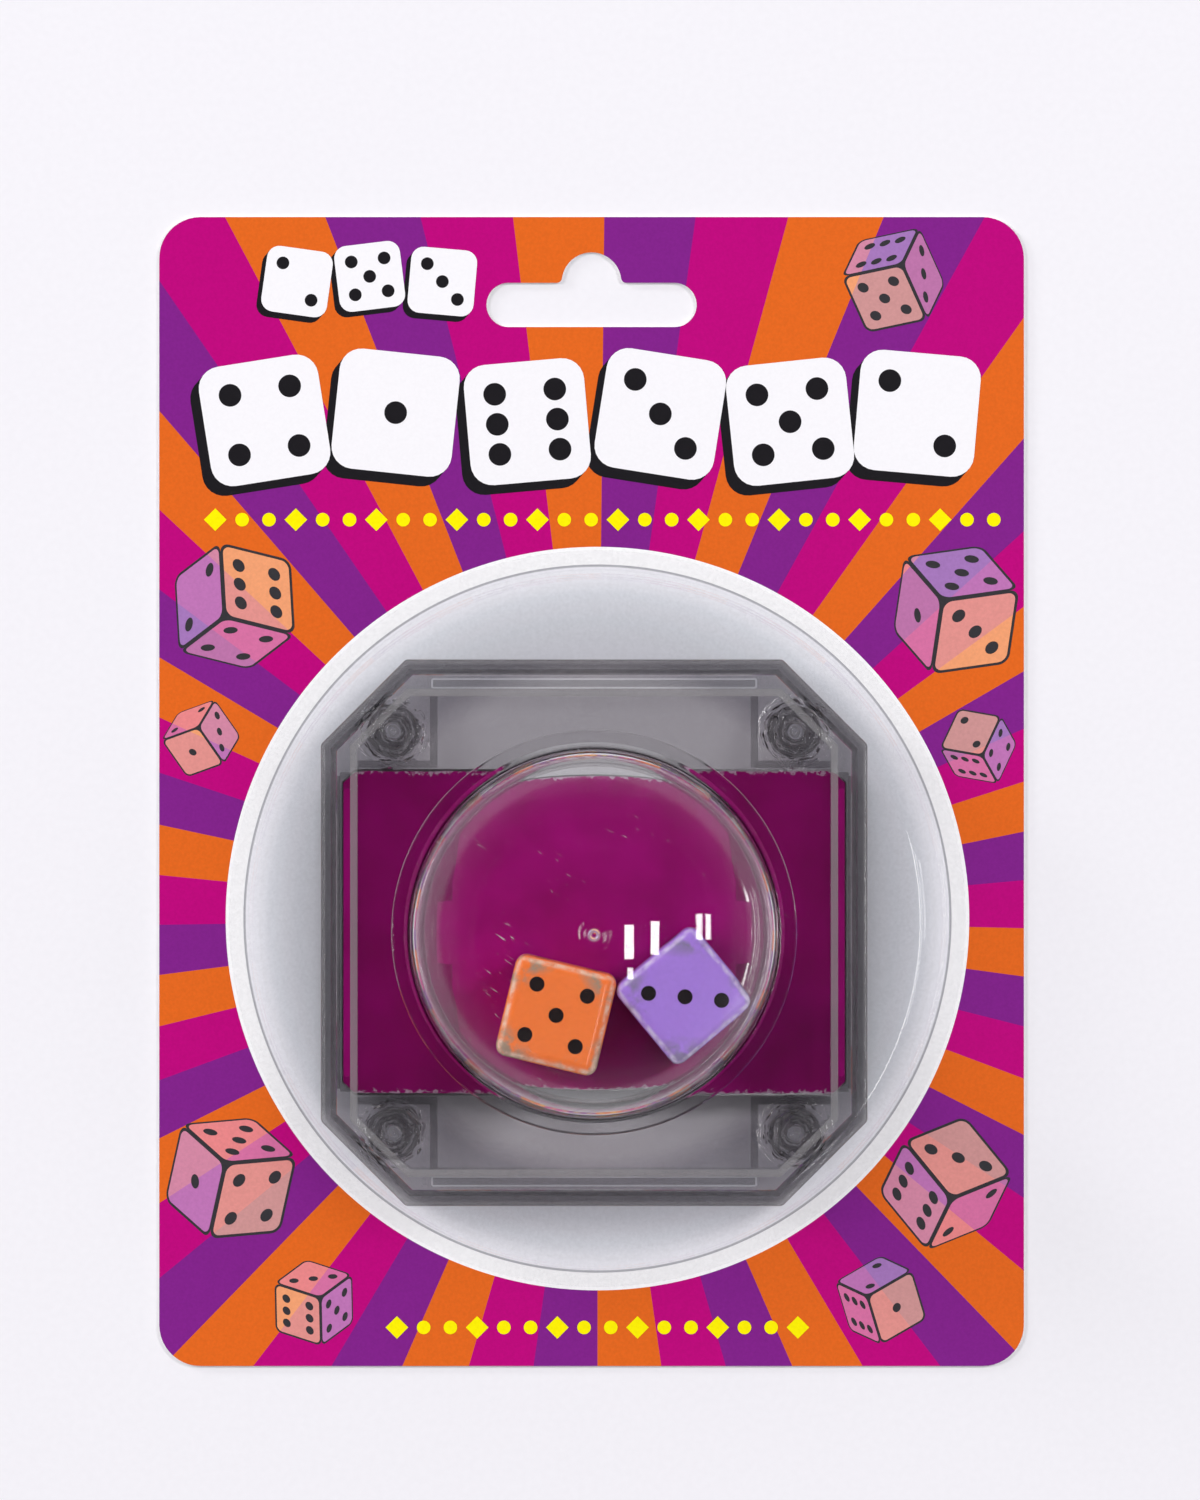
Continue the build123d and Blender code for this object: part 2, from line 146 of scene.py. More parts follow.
# The card is a printed sunburst around the blister, with a pale printed disc behind the popper. The disc
# greys towards the popper, and a thin grey line lies under the blister wall's foot: both are painted shade.
# Sizes are in mm.
cardPrint = {
    "rayInks": ["82228A", "BE047C", "E46820"],
    "rays": 54,
    "rayTurn": 0.25,  # degrees
    "rayBend": [(1, -2.25), (2, 2.49), (4, 0.825)],  # waves around the circle and their size in degrees
    # a thin grey line under the blister wall's foot is painted shade of the wall
    "discRadius": 54.4, "wallFootShadeWidth": 0.35, "wallFootShadeGrey": "B0AFB6",
    "ringRadius": 57.3, "ringInk": "FDFCFE",
    # the disc's stops: pale print in the middle, turning grey towards the popper as painted shade around it
    "discShadeStops": [(0, "F8F8FC"), (36.5, "F4F4F9"), (40.5, "C9C9D1"), (44, "CBCCD3"), (46, "CED0D7"),
                  (48, "D4D5DC"), (50, "DADCE3"), (52, "E3E3EA"), (54.4, "EEEDF4")],
    "board": "F5F3EE", "boardRoughness": 0.8, "fibre": 1.25, "fibreDepth": 0.1,
    "varnishRoughness": 0.5, "varnishGloss": 0.12, "ior": 1.5,
    "mottle": 0.45,
    "layer": 0.015,  # one layer of ink, drawn thick enough to lie apart from the next
    "faceDepth": 0.003,
}


# The sunburst's colour at a point in mm from its centre: rays of three inks in turn, wider above and below
def rayInk(tree, point):
    inks = cardPrint["rayInks"]
    half = math.radians(cardPrint["rayTurn"])
    parts = add(tree, "SeparateXYZ", {0: point}).outputs
    angle = add(tree, "Math", {0: parts["X"], 1: parts["Y"]}, operation="ARCTAN2").outputs[0]
    level = add(tree, "Math", {0: angle}, operation="COSINE").outputs[0]
    even = add(tree, "Math", {0: level, 1: -half, 2: angle}, operation="MULTIPLY_ADD").outputs[0]
    even = add(tree, "Math", {0: even, 1: half}, operation="SUBTRACT").outputs[0]
    for times, size in cardPrint["rayBend"]:
        bend = -math.radians(size)
        several = add(tree, "Math", {0: angle, 1: times}, operation="MULTIPLY").outputs[0]
        wave = add(tree, "Math", {0: several}, operation="SINE").outputs[0]
        even = add(tree, "Math", {0: wave, 1: bend, 2: even}, operation="MULTIPLY_ADD").outputs[0]
    rayWidth = 2 * math.pi / cardPrint["rays"]
    turns = add(tree, "Math", {0: even, 1: rayWidth}, operation="DIVIDE").outputs[0]
    whole = add(tree, "Math", {0: turns}, operation="FLOOR").outputs[0]
    inTurn = add(tree, "Math", {0: whole, 1: len(inks)}, operation="FLOORED_MODULO").outputs[0]
    share = add(
        tree, "MapRange", {"Value": inTurn, "From Min": -0.5, "From Max": len(inks) - 0.5}
    ).outputs[0]
    stops = [(i / len(inks), hexCode) for i, hexCode in enumerate(inks)]
    ramp = add(tree, "ValToRGB", {0: share}, stops)
    ramp.color_ramp.interpolation = "CONSTANT"
    return ramp.outputs[0]


# Ink lies a little unevenly on board, in patches under a millimetre
def mottled(tree, colour, point, spread=0.05):
    patches = add(
        tree, "TexNoise", {"Vector": point, "Scale": 1 / cardPrint["mottle"], "Detail": 3.0}
    ).outputs[0]
    level = add(
        tree, "MapRange",
        {"Value": patches, "From Min": 0.3, "From Max": 0.7, "To Min": 1 - spread, "To Max": 1 + spread},
    ).outputs[0]
    return add(tree, "VectorMath", {0: colour, "Scale": level}, operation="SCALE").outputs[0]


# Gloss varnish over ink: the colour stays strong, with a faint sheen
def varnished(tree, colour, more=None):
    inputs = {
        "Base Color": colour,
        "Roughness": cardPrint["varnishRoughness"],
        "IOR": cardPrint["ior"],
        "Specular IOR Level": cardPrint["varnishGloss"],
    }
    inputs.update(more or {})
    return add(tree, "BsdfPrincipled", inputs).outputs[0]


# Offset print on white coated board: flat inks on the face, and bare, matt board at the edges and back. Its
# fibres are drawn coarser than they are, so that they show.
def printedBoard():
    material, tree = newMaterial("offsetPrintOnCoatedBoard")
    point = pointInMm(tree, blisterFoot)
    radius = fromAxis(tree, point)
    rays = rayInk(tree, point)
    edge, line = cardPrint["discRadius"], cardPrint["wallFootShadeWidth"] / 2
    span = cardPrint["discShadeStops"][-1][0]
    share = add(tree, "Math", {0: radius, 1: span}, operation="DIVIDE").outputs[0]
    stops = [(r / span, hexCode) for r, hexCode in cardPrint["discShadeStops"]]
    # the disc greys towards the popper: painted shade around it over the pale print
    disc = add(tree, "ValToRGB", {0: share}, stops).outputs[0]
    # painted shade: a thin grey line where the blister's wall stands on the card
    onLine = add(tree, "Math", {0: radius, 1: edge, 2: line}, operation="COMPARE").outputs[0]
    inDisc = add(tree, "Math", {0: radius, 1: edge}, operation="LESS_THAN").outputs[0]
    inRing = add(tree, "Math", {0: radius, 1: cardPrint["ringRadius"]}, operation="LESS_THAN").outputs[0]
    ringInk, wallFootShade = linear(cardPrint["ringInk"]), linear(cardPrint["wallFootShadeGrey"])
    ringed = add(tree, "Mix", {"Factor": inRing, 6: rays, 7: ringInk}, data_type="RGBA").outputs[2]
    discs = add(tree, "Mix", {"Factor": inDisc, 6: ringed, 7: disc}, data_type="RGBA").outputs[2]
    lined = add(tree, "Mix", {"Factor": onLine, 6: discs, 7: wallFootShade}, data_type="RGBA").outputs[2]
    inked = mottled(tree, lined, point)
    height = add(tree, "SeparateXYZ", {0: point}).outputs["Z"]
    printed = cardFace / mm - cardPrint["faceDepth"]
    onFace = add(tree, "Math", {0: height, 1: printed}, operation="GREATER_THAN").outputs[0]
    board = linear(cardPrint["board"])
    colour = add(tree, "Mix", {"Factor": onFace, 6: board, 7: inked}, data_type="RGBA").outputs[2]
    roughness = add(
        tree, "MapRange",
        {"Value": onFace, "To Min": cardPrint["boardRoughness"], "To Max": cardPrint["varnishRoughness"]},
    ).outputs[0]
    fibres = add(
        tree, "TexNoise", {"Vector": point, "Scale": 1 / cardPrint["fibre"], "Detail": 4.0}
    ).outputs[0]
    bump = add(
        tree, "Bump", {"Height": fibres, "Strength": 0.06, "Distance": cardPrint["fibreDepth"] * mm}
    ).outputs[0]
    return finishMaterial(material, varnished(tree, colour, {"Roughness": roughness, "Normal": bump}))


# A single printing ink under the varnish
def ink(name, hexCode, spread=0.04):
    material, tree = newMaterial(name)
    colour = mottled(tree, linear(hexCode), pointInMm(tree, blisterFoot), spread)
    return finishMaterial(material, varnished(tree, colour))


# A pale screen over the sunburst, so that its rays show through
def screenedRays(name, overlay, share):
    material, tree = newMaterial(name)
    point = pointInMm(tree, blisterFoot)
    rays = rayInk(tree, point)
    screened = add(
        tree, "Mix", {"Factor": share, 6: rays, 7: linear(overlay)}, data_type="RGBA"
    ).outputs[2]
    return finishMaterial(material, varnished(tree, mottled(tree, screened, point)))


dress("backing_card", printedBoard())
print("card printed")


def rotated(x, y, degrees):
    c, s = math.cos(math.radians(degrees)), math.sin(math.radians(degrees))
    return x * c - y * s, x * s + y * c


# Corner points of a square with round corners, about its own middle
def roundedSquare(side, radius, steps=6):
    reach = side / 2 - radius
    points = []
    for quarter in range(4):
        for i in range(steps + 1):
            a = i * math.pi / 2 / steps
            x, y = reach + radius * math.cos(a), reach + radius * math.sin(a)
            points.append(rotated(x, y, 90 * quarter))
    return points


def discPoints(radius, steps=28):
    angles = [2 * math.pi * i / steps for i in range(steps)]
    return [(radius * math.cos(a), radius * math.sin(a)) for a in angles]


# Where the pips of a face lie, as shares of the face's side
def pipPlaces(count):
    d = 0.25
    corners = [(-d, d), (d, -d), (-d, -d), (d, d)]
    middles = [(-d, 0), (d, 0)]
    return {
        1: [(0, 0)],
        2: corners[:2],
        3: corners[:2] + [(0, 0)],
        4: corners,
        5: corners + [(0, 0)],
        6: corners + middles,
    }[count]


# A flat printed shape on the card: points in mm, turned in degrees and moved, on one layer of ink
def addShape(bm, points, place, turn=0.0, layer=1, materialIndex=0):
    z = cardFace + layer * cardPrint["layer"] * mm
    corners = []
    for point in points:
        x, y = rotated(*point, turn)
        corners.append(bm.verts.new(((place[0] + x) * mm, (place[1] + y) * mm, z)))
    bm.faces.new(corners).material_index = materialIndex


# Rows of die faces in place of a heading: (x, y, tilt, pips) in mm and degrees
headingDice = {
    "black": "1E1C20",
    "white": "F8F6FA",
    "shadowSteps": 5,
    "sizes": [
        {
            "side": 18.6, "corner": 3.4, "pip": 1.75, "shadow": (-1.3, -1.5),
            "row": [(-50.4, 57.2, 9, 4), (-30.2, 58.4, -6, 1), (-9.9, 57.0, 5, 6),
                    (10.6, 58.2, -9, 3), (30.6, 57.0, 6, 5), (50.2, 58.3, -5, 2)],
        },
        {
            "side": 10.2, "corner": 1.9, "pip": 0.98, "shadow": (-0.75, -0.85),
            "row": [(-45.4, 78.6, -8, 2), (-34.2, 79.4, 7, 5), (-23.0, 78.6, -5, 3)],
        },
    ],
}

shadows, faces, pips = bmesh.new(), bmesh.new(), bmesh.new()
for size in headingDice["sizes"]:
    square = roundedSquare(size["side"], size["corner"])
    dx, dy = size["shadow"]
    for x, y, tilt, count in size["row"]:
        for step in range(headingDice["shadowSteps"]):  # drawn out from the face, so that its corners join
            share = (step + 1) / headingDice["shadowSteps"]
            addShape(shadows, square, (x + dx * share, y + dy * share), tilt, 1 + step * 0.1)
        addShape(faces, square, (x, y), tilt, 2)
        for px, py in pipPlaces(count):
            px, py = rotated(px * size["side"], py * size["side"], tilt)
            addShape(pips, discPoints(size["pip"]), (x + px, y + py), 0, 3)
blackInk = ink("blackOffsetInk", headingDice["black"])
whiteInk = ink("whiteOffsetInk", headingDice["white"], 0.015)
pieceFrom("headingShadows", shadows, blackInk, "pack")
pieceFrom("headingFaces", faces, whiteInk, "pack")
pieceFrom("headingPips", pips, blackInk, "pack")

# Rows of beads and lozenges in place of small lines: (first x, last x, y) in mm
beadRows = {
    "yellow": "FFF200", "pitch": 4.15, "bead": 1.05, "lozenge": 1.75,
    "rows": [(-58.0, 62.0, 41.9), (-30.0, 31.8, -82.6)],
}

beads = bmesh.new()
half = beadRows["lozenge"]
lozenge = [(half, 0), (0, half), (-half, 0), (0, -half)]
for first, last, y in beadRows["rows"]:
    count = round((last - first) / beadRows["pitch"])
    for i in range(count + 1):
        x = first + (last - first) * i / count
        addShape(beads, discPoints(beadRows["bead"]) if i % 3 else lozenge, (x, y), 0, 2)
pieceFrom("yellowBeadRows", beads, ink("yellowOffsetInk", beadRows["yellow"]), "pack")

# Drawn cubes: place and side in mm, turn in degrees, and the pips on the three sides that show. The corner,
# line and pip are shares of the side.
drawnCubes = {
    "grey": "38363A",
    "screens": [("pinkScreenOverRays", "F2A8C8", 0.42), ("lilacScreenOverRays", "BFA0DC", 0.5),
                ("peachScreenOverRays", "FFC79A", 0.5)],
    "corner": 0.13,
    "innerCorner": 0.8,  # of the corner
    "line": 0.036,
    "pip": 0.085,
    "cubes": [
        ((46.5, 78.8), 10.5, (28, -24, 12), (3, 6, 5)),
        ((-55.0, 28.6), 13.0, (-32, 30, -14), (4, 2, 6)),
        ((56.2, 28.0), 13.4, (34, 26, 8), (1, 5, 3)),
        ((-60.2, 8.2), 7.4, (25, -35, 20), (2, 3, 1)),
        ((59.6, 7.0), 7.6, (-30, -28, -10), (6, 4, 2)),
        ((-55.6, -59.6), 13.2, (30, 33, 5), (5, 1, 4)),
        ((54.6, -60.4), 12.6, (-28, 36, 22), (2, 6, 3)),
        ((-42.8, -78.8), 8.6, (35, -30, -18), (3, 5, 6)),
        ((44.6, -78.4), 8.8, (30, 24, 30), (6, 2, 1)),
    ],
}


# The cube's sides that face the reader, as a frame of three axes each
def seenSides(turns):
    x, y, z = (math.radians(t) for t in turns)
    turn = Matrix.Rotation(z, 3, "Z") @ Matrix.Rotation(y, 3, "Y") @ Matrix.Rotation(x, 3, "X")
    sides = []
    for axis in range(3):
        for sign in (1, -1):
            out = turn @ Vector([sign if i == axis else 0 for i in range(3)])
            if out.z > 0.02:
                u = turn @ Vector([1 if i == (axis + 1) % 3 else 0 for i in range(3)])
                sides.append((out, u, out.cross(u)))
    return sorted(sides, key=lambda side: side[0].z)


# A flat shape on one side of a cube, as it falls on the card
def fallen(points, side, axes, shift=(0, 0)):
    out, u, v = axes
    flat = [out * side / 2 + u * (x + shift[0]) + v * (y + shift[1]) for x, y in points]
    return [(p.x, p.y) for p in flat]


lines, panels, marks = bmesh.new(), bmesh.new(), bmesh.new()
for place, side, turns, counts in drawnCubes["cubes"]:
    corner = side * drawnCubes["corner"]
    outer = roundedSquare(side, corner)
    inner = roundedSquare(side * (1 - 2 * drawnCubes["line"]), corner * drawnCubes["innerCorner"])
    pip = discPoints(side * drawnCubes["pip"], 20)
    nearest = Vector((0, 0, 0))
    for index, axes in enumerate(seenSides(turns)):
        addShape(lines, fallen(outer, side, axes), place, 0, 1 + index * 0.1)
        addShape(panels, fallen(inner, side, axes), place, 0, 2, index)
        nearest += axes[0] * side / 2
        for px, py in pipPlaces(counts[index]):
            addShape(marks, fallen(pip, side, axes, (px * side, py * side)), place, 0, 3)
    meeting = (place[0] + nearest.x, place[1] + nearest.y)
    addShape(lines, discPoints(corner, 12), meeting, 0, 1.3)  # fills the gap where the three sides meet
greyInk = ink("darkGreyOffsetInk", drawnCubes["grey"])
pieceFrom("cubeLines", lines, greyInk, "pack")
pieceFrom("cubePanels", panels, [screenedRays(*screen) for screen in drawnCubes["screens"]], "pack")
pieceFrom("cubePips", marks, greyInk, "pack")
print("decoration printed:", len(drawnCubes["cubes"]), "cubes")


# Light that falls through plastic on other pieces goes straight on, with the plastic's tint
def lightPasses(tree, shader, tint):
    passing = add(tree, "BsdfTransparent", {"Color": linear(tint)}).outputs[0]
    path = add(tree, "LightPath").outputs
    lamps = add(tree, "MixShader", {0: path["Is Shadow Ray"], 1: shader, 2: passing}).outputs[0]
    return add(tree, "MixShader", {0: path["Is Diffuse Ray"], 1: lamps, 2: passing}).outputs[0]


# Moulded clear plastic: it bends what is behind it and mirrors the lamps. The functions handed in give its
# surface, its roughness with its clearness, and its colour.
def seeThroughPlastic(name, look, normal=None, wear=None, tint=None):
    material, tree = newMaterial(name)
    inputs = {
        "Base Color": tint(tree) if tint else linear(look["tint"]),
        "Roughness": look["roughness"],
        "IOR": look["ior"],
        "Transmission Weight": 1.0,
    }
    if normal:
        inputs["Normal"] = normal(tree)
    if wear:
        inputs["Roughness"], inputs["Transmission Weight"] = wear(tree)
    moulded = add(tree, "BsdfPrincipled", inputs).outputs[0]
    depth = None
    if "density" in look:
        depth = add(
            tree, "VolumeAbsorption", {"Color": linear(look["depthTint"]), "Density": look["density"]}
        ).outputs[0]
    return finishMaterial(material, lightPasses(tree, moulded, look["lampTint"]), depth)


# A thin formed sheet hardly bends what is behind it, so only its gloss shows, more where it is seen edge-on
def thinClearSheet(name, look):
    material, tree = newMaterial(name)
    facing = add(tree, "Fresnel", {"IOR": look["ior"]}).outputs[0]
    eased = add(tree, "Math", {0: facing, 1: look["shine"]}, operation="MULTIPLY").outputs[0]
    shine = add(tree, "Math", {0: eased, 1: look["mostShine"]}, operation="MINIMUM").outputs[0]
    clear = add(tree, "BsdfTransparent", {"Color": linear(look["tint"])}).outputs[0]
    gloss = add(
        tree, "BsdfPrincipled",
        {"Base Color": linear("FFFFFF"), "Metallic": 1.0, "Roughness": look["roughness"]},
    ).outputs[0]
    film = add(tree, "MixShader", {0: shine, 1: clear, 2: gloss}).outputs[0]
    return finishMaterial(material, lightPasses(tree, film, look["tint"]))


# Smoky polystyrene of the housing and press ring. Sizes are in mm, angles in degrees, and the levels of tops
# and feet are heights above the card's back.
smoky = {
    "tint": "E6E3E5", "lampTint": "F9F8F9", "ior": 1.59, "roughness": 0.03,
    "depthTint": "3A383A", "density": 66.0,  # per metre of plastic
    "flow": 9.0, "flowDepth": 0.08,
    "boss": 30.82, "bossReach": (3.6, 4.6), "bossTint": "CECBCD",
    "rings": 1.3, "ringDepth": 0.14, "ringReach": (4.6, 6.0), "ringPatch": 2.0, "ringWander": 1.6,
    "tops": [(13.6, 0.07), (13.2, 0.2)], "topSpread": 0.12,  # the rim's and the rib's level and frost
    "edge": 0.16, "flatAngle": 1.5, "easedAngle": 32, "sharpAngle": 40,
    "housingFeet": (2.1, 4.0), "baseFeet": (0.6,), "clear": 0.04,
    "weld": 0.002,
}
# The base's moulding is paler
smokyBase = {
    **smoky,
    "tint": "F8F7F8", "lampTint": "FDFDFD", "density": 16.0,
    "tall": 3.0, "tallTint": "A8A6A8",
}


# How far a point of the popper lies from the nearest of its four bosses, seen from above
def fromBosses(tree, point):
    mirrored = add(tree, "VectorMath", {0: point}, operation="ABSOLUTE").outputs[0]
    boss = (smoky["boss"], smoky["boss"], 0)
    away = add(tree, "VectorMath", {0: mirrored, 1: boss}, operation="SUBTRACT").outputs[0]
    return fromAxis(tree, away)


# Moulded styrene shows faint flow waves, and uneven rings around the four bosses
def flowWaves(tree):
    point = pointInMm(tree, popperFoot)
    reach = fromBosses(tree, point)
    waves = add(
        tree, "TexNoise",
        {"Vector": point, "Scale": 1 / smoky["flow"], "Detail": 1.0, "Distortion": 0.4},
    ).outputs[0]
    patches = add(
        tree, "TexNoise", {"Vector": point, "Scale": 1 / smoky["ringPatch"], "Detail": 1.0}
    ).outputs[0]
    wandered = add(
        tree, "Math", {0: patches, 1: smoky["ringWander"], 2: reach}, operation="MULTIPLY_ADD"
    ).outputs[0]
    phase = add(
        tree, "Math", {0: wandered, 1: 2 * math.pi / smoky["rings"]}, operation="MULTIPLY"
    ).outputs[0]
    ripple = add(tree, "Math", {0: phase}, operation="SINE").outputs[0]
    inner, outer = smoky["ringReach"]
    near = add(
        tree, "MapRange",
        {"Value": reach, "From Min": inner, "From Max": outer, "To Min": 1.0, "To Max": 0.0},
    ).outputs[0]
    rings = add(tree, "Math", {0: ripple, 1: near}, operation="MULTIPLY").outputs[0]
    wavy = add(
        tree, "Bump", {"Height": waves, "Strength": 0.3, "Distance": smoky["flowDepth"] * mm}
    ).outputs[0]
    return add(
        tree, "Bump",
        {"Height": rings, "Strength": 0.8, "Distance": smoky["ringDepth"] * mm, "Normal": wavy},
    ).outputs[0]


# The four bosses with the pins in them hold more light back, so they look darker
def darkBosses(tree):
    reach = fromBosses(tree, pointInMm(tree, popperFoot))
    inner, outer = smoky["bossReach"]
    onBoss = add(
        tree, "MapRange",
        {"Value": reach, "From Min": inner, "From Max": outer, "To Min": 1.0, "To Max": 0.0},
    ).outputs[0]
    tint, bossTint = linear(smoky["tint"]), linear(smoky["bossTint"])
    return add(tree, "Mix", {"Factor": onBoss, 6: tint, 7: bossTint}, data_type="RGBA").outputs[2]


# The tongues and pins that stand up from the base are seen end-on, through all their height, so they look
# darker
def tallTongues(tree):
    height = add(tree, "SeparateXYZ", {0: pointInMm(tree, popperFoot)}).outputs["Z"]
    standing = add(tree, "Math", {0: height, 1: smokyBase["tall"]}, operation="GREATER_THAN").outputs[0]
    tint, tallTint = linear(smokyBase["tint"]), linear(smokyBase["tallTint"])
    return add(tree, "Mix", {"Factor": standing, 6: tint, 7: tallTint}, data_type="RGBA").outputs[2]


# The top faces of the rim and of the rib around the panel are a little frosted and catch the light
def frostedTops(tree):
    height = add(tree, "SeparateXYZ", {0: pointInMm(tree, popperFoot)}).outputs["Z"]
    clear = 1.0
    for level, frost in smoky["tops"]:
        onTop = add(
            tree, "Math", {0: height, 1: level, 2: smoky["topSpread"]}, operation="COMPARE"
        ).outputs[0]
        clear = add(tree, "Math", {0: onTop, 1: -frost, 2: clear}, operation="MULTIPLY_ADD").outputs[0]
    return smoky["roughness"], clear


smokyStyrene = seeThroughPlastic("smokyPolystyreneMoulded", smoky, flowWaves, frostedTops, darkBosses)
smokyBaseStyrene = seeThroughPlastic(
    "smokyPolystyreneBaseMoulded", smokyBase, flowWaves, None, tallTongues
)


# A copy of a CAD piece with its sharp edges eased, as any moulding has them
def easedCopy(node, name, material, body, lifted):
    bm = bmesh.new()
    bm.from_mesh(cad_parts[node].data)
    bmesh.ops.remove_doubles(bm, verts=bm.verts, dist=smoky["weld"] * mm)
    flatAngle = math.radians(smoky["flatAngle"])
    bmesh.ops.dissolve_limit(bm, angle_limit=flatAngle, verts=bm.verts, edges=bm.edges)
    for vert in bm.verts:  # the feet stand a hair clear of what carries them
        for level in lifted:
            if abs(vert.co.z - level * mm) < 0.01 * mm:
                vert.co.z += smoky["clear"] * mm
    piece = pieceFrom(name, bm, material, body, smoky["sharpAngle"])
    ease = piece.modifiers.new("easedEdges", "BEVEL")
    ease.width = smoky["edge"] * mm
    ease.segments = 2
    ease.limit_method = "ANGLE"
    ease.angle_limit = math.radians(smoky["easedAngle"])
    ease.use_clamp_overlap = True
    flat = piece.modifiers.new("flatFaces", "WEIGHTED_NORMAL")
    flat.keep_sharp = True
    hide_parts(node)
    return piece


housing = easedCopy("popper_housing", "housingMoulding", smokyStyrene, "pack", smoky["housingFeet"])
base = easedCopy("popper_base", "baseMoulding", smokyBaseStyrene, "pack", smoky["baseFeet"])
dress("press_ring", smokyStyrene)

# The dome is a clear shell turned about its axis: a drafted wall, a shoulder, a flatter cap and a gate mark.
# Sizes are in mm, and the gate's section is (radius, height) as shares of its radius and in mm.
domeShape = {
    "tint": "FCFCFC", "lampTint": "FDFDFD", "ior": 1.58, "roughness": 0.012,
    "radius": 28.9, "wall": 1.3, "draft": 1.5, "rise": 16.5, "blend": 6.5,
    "flange": 2.2, "flangeWall": 1.0, "ease": 0.3,
    "gate": 0.9, "gateHeight": 0.2, "gateFrost": 0.25,
    "gateSection": [(1.05, -0.2), (0.95, -0.13), (0.86, -0.04), (0.76, 0.0), (0.64, -0.04), (0.54, -0.13),
                    (0.42, -0.18), (0.3, -0.14), (0.18, -0.08), (0.08, -0.06), (0, -0.06)],
    "gateRing": 2.4, "gateRingWidth": 0.3, "gateRingDepth": 0.05,
    "scratchLean": 0.6, "scratchStretch": (0.4, 2.6, 0.4), "scratched": (0.7, 0.76),
    "handledPatch": 9.09, "handled": (0.55, 0.64),
    "wornRoughness": 0.25, "wornClear": 0.68,
    "turns": 288, "sharpAngle": 38,
}


# A ring profile of (radius, height) points in metres, turned about an upright axis
def turned(profile, axis, turns):
    bm = bmesh.new()
    angles = [2 * math.pi * i / turns for i in range(turns)]
    rings = []
    for radius, height in profile:
        if radius < 1e-6:  # on the axis
            rings.append([bm.verts.new((axis.x, axis.y, height))])
            continue
        places = [(axis.x + radius * math.cos(a), axis.y + radius * math.sin(a), height) for a in angles]
        rings.append([bm.verts.new(place) for place in places])
    for lower, upper in zip(rings, rings[1:] + rings[:1]):
        if len(lower) == 1 and len(upper) == 1:
            continue
        for i in range(turns):
            pairs = [(lower, i), (lower, i + 1), (upper, i + 1), (upper, i)]
            corners = [ring[place % turns % len(ring)] for ring, place in pairs]
            bm.faces.new(list(dict.fromkeys(corners)))
    bmesh.ops.recalc_face_normals(bm, faces=bm.faces)
    return bm


# The dome's section, inside face first, from the top of the cap down to the flange and back up outside
def domeProfile():
    low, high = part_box("dome")
    foot, top = low[2] / mm, high[2] / mm
    radius, wall, bend = domeShape["radius"], domeShape["wall"], domeShape["blend"]
    inner = radius - wall
    flangeTop = foot + domeShape["flangeWall"]
    shoulder = flangeTop + domeShape["rise"]
    blendX = inner - domeShape["rise"] * math.tan(math.radians(domeShape["draft"])) - bend
    ceiling = top - domeShape["gateHeight"] - wall
    rise = ceiling - shoulder
    cap = (blendX ** 2 + rise ** 2 - bend ** 2) / (2 * (rise - bend))
    capZ = ceiling - cap
    lean = math.atan2(blendX, shoulder - capZ)

    def face(outside):
        reach = cap + outside
        slopes = [lean * i / 24 for i in range(25)]
        onCap = [(reach * math.sin(t), capZ + reach * math.cos(t)) for t in slopes]
        turn = [lean + (math.pi / 2 - lean) * i / 20 for i in range(1, 21)]
        around = bend + outside
        return onCap + [(blendX + around * math.sin(t), shoulder + around * math.cos(t)) for t in turn]

    ease = domeShape["ease"]
    rim = radius + domeShape["flange"]
    flange = [
        (inner, flangeTop), (inner, foot + ease), (inner + ease, foot), (rim - ease, foot),
        (rim, foot + ease), (rim, flangeTop - ease), (rim - ease, flangeTop),
        (radius + ease, flangeTop), (radius, flangeTop + ease),
    ]
    gate = domeShape["gate"]
    outside = [point for point in face(wall)[::-1] if point[0] > gate * 1.1]  # stops short of the mark
    mark = [(gate * share, top + z) for share, z in domeShape["gateSection"]]
    return [(r * mm, z * mm) for r, z in face(0) + flange + outside + mark]


# How near a point of the dome is to a ring about its axis, 1 on the ring and 0 beside it
def onRing(tree, point, radius, width):
    away = add(tree, "Math", {0: fromAxis(tree, point), 1: radius}, operation="SUBTRACT").outputs[0]
    away = add(tree, "Math", {0: away}, operation="ABSOLUTE").outputs[0]
    return add(
        tree, "MapRange", {"Value": away, "From Min": 0.0, "From Max": width, "To Min": 1.0, "To Max": 0.0},
        interpolation_type="SMOOTHSTEP",
    ).outputs[0]


# A low ring around the gate, where the plastic flowed in
def gateRing(tree):
    point = pointInMm(tree, popperFoot)
    ridge = onRing(tree, point, domeShape["gateRing"], domeShape["gateRingWidth"])
    return add(
        tree, "Bump", {"Height": ridge, "Strength": 0.7, "Distance": domeShape["gateRingDepth"] * mm}
    ).outputs[0]


